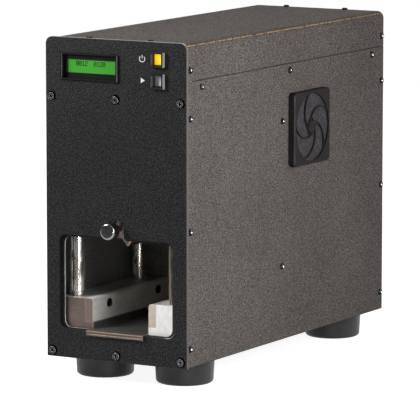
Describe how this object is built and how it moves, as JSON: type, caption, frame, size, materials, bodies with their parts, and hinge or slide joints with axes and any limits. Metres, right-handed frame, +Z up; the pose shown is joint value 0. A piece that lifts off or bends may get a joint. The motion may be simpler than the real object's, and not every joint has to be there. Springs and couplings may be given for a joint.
{
  "type": "hard drive crusher",
  "caption": "Bench machine with a motor-driven wedge that bends a hard drive across bars inside a doored chamber.",
  "frame": {"origin": "centre of the overall box, on the floor", "axes": "+Z up, the front panel faces -Y, +X to the right of someone who faces the front panel"},
  "size_m": [0.1884, 0.4884, 0.3855],
  "materials": {
    "front_black": "fine textured powder coat",
    "cover_taupe": "speckled powder coat",
    "liner_black": "matt black paint",
    "frame_steel": "milled and ground",
    "bar_aluminium": "brushed along its length",
    "tool_steel": "hardened and ground",
    "column_chrome": "polished",
    "bronze": "turned",
    "screw_black": "black oxide",
    "knob_steel": "dark polished",
    "door_clear": "clear polycarbonate",
    "tray_steel": "folded sheet",
    "foot_rubber": "moulded",
    "trim_black": "moulded",
    "window_green": "backlit",
    "lens_amber": "lit lens",
    "lens_grey": "unlit lens",
    "board_green": "circuit board",
    "foam_grey": "open-cell filter foam"
  },
  "bodies": {
    "frame": {"front_panel": "front_black", "opening_frame": "front_black", "top_cover": "cover_taupe", "left_side_panel": "cover_taupe", "right_side_panel": "cover_taupe", "rear_panel": "cover_taupe", "chamber_liner": "liner_black", "bulkhead": "liner_black", "base_pan": "liner_black", "gear_motor": "liner_black", "power_supply": "liner_black", "press_base": "frame_steel", "crown_plate": "frame_steel", "column_nuts": "frame_steel", "idler_shaft": "frame_steel", "left_support_bar": "bar_aluminium", "right_support_bar": "bar_aluminium", "left_front_post": "bar_aluminium", "right_front_post": "bar_aluminium", "middle_cross_rail": "bar_aluminium", "top_cross_rail": "bar_aluminium", "left_anvil_strip": "tool_steel", "right_anvil_strip": "tool_steel", "guide_columns": "column_chrome", "front_panel_screws": "screw_black", "button_head_screws": "screw_black", "anvil_screws": "screw_black", "foot_screws": "screw_black", "feet": "foot_rubber", "display_frame": "trim_black", "display_module": "trim_black", "power_button_housing": "trim_black", "start_button_housing": "trim_black", "fan_cover": "trim_black", "fan_frame": "trim_black", "power_entry": "trim_black", "display_window": "window_green", "display_board": "board_green", "control_board": "board_green", "filter_foam": "foam_grey"},
    "ram": {"ram_platen": "frame_steel", "platen_bushes": "bronze", "ram_wedge": "tool_steel", "wedge_screws": "screw_black", "lead_screw": "column_chrome"},
    "screw_nut": {"lead_nut": "bronze", "thrust_bearing": "frame_steel", "lock_ring": "frame_steel", "drive_gear": "frame_steel"},
    "idler": {"idler_gear": "frame_steel"},
    "pinion": {"motor_pinion": "frame_steel"},
    "door": {"door_panel": "door_clear", "door_knob": "knob_steel"},
    "tray": {"scrap_tray": "tray_steel"},
    "power_button": {"power_button_cap": "lens_amber"},
    "start_button": {"start_button_cap": "lens_grey"},
    "fan": {"fan_rotor": "trim_black"},
    "rocker": {"power_rocker": "trim_black"}
  },
  "joints": [
    {"name": "screw_nut_turn", "type": "hinge", "parent": "frame", "child": "screw_nut", "pos_m": [-0.0032, -0.13605, 0.2685], "axis": [0, 0, 1], "range_deg": [0, 2520]},
    {"name": "ram_slide", "type": "slide", "parent": "frame", "child": "ram", "axis": [0, 0, 1], "range_m": [-0.0701, 0]},
    {"name": "idler_turn", "type": "hinge", "parent": "frame", "child": "idler", "pos_m": [-0.0032, -0.04205, 0.2685], "axis": [0, 0, 1], "range_deg": [-4448, 0]},
    {"name": "pinion_turn", "type": "hinge", "parent": "frame", "child": "pinion", "pos_m": [-0.0032, 0.00995, 0.2685], "axis": [0, 0, 1], "range_deg": [0, 8401]},
    {"name": "door_slide", "type": "slide", "parent": "frame", "child": "door", "axis": [0, 0, 1], "range_m": [-0.104, 0]},
    {"name": "tray_slide", "type": "slide", "parent": "frame", "child": "tray", "axis": [0, -1, 0], "range_m": [0, 0.165]},
    {"name": "power_button_press", "type": "slide", "parent": "frame", "child": "power_button", "axis": [0, 1, 0], "range_m": [0, 0.0025], "stiffness_N_per_m": 400, "springref_m": -0.001},
    {"name": "start_button_press", "type": "slide", "parent": "frame", "child": "start_button", "axis": [0, 1, 0], "range_m": [0, 0.0025], "stiffness_N_per_m": 400, "springref_m": -0.001},
    {"name": "fan_spin", "type": "hinge", "parent": "frame", "child": "fan", "pos_m": [0.0718, 0.0497, 0.2659], "axis": [1, 0, 0], "continuous": true},
    {"name": "rocker_tilt", "type": "hinge", "parent": "frame", "child": "rocker", "pos_m": [0.0568, 0.2352, 0.0865], "axis": [1, 0, 0], "range_deg": [-16, 0]}
  ],
  "couplings": [
    {"joint": "ram_slide", "follows": "screw_nut_turn", "m_per_rad": -0.0015915},
    {"joint": "idler_turn", "follows": "screw_nut_turn", "ratio": -1.7647},
    {"joint": "pinion_turn", "follows": "screw_nut_turn", "ratio": 3.3333}
  ]
}
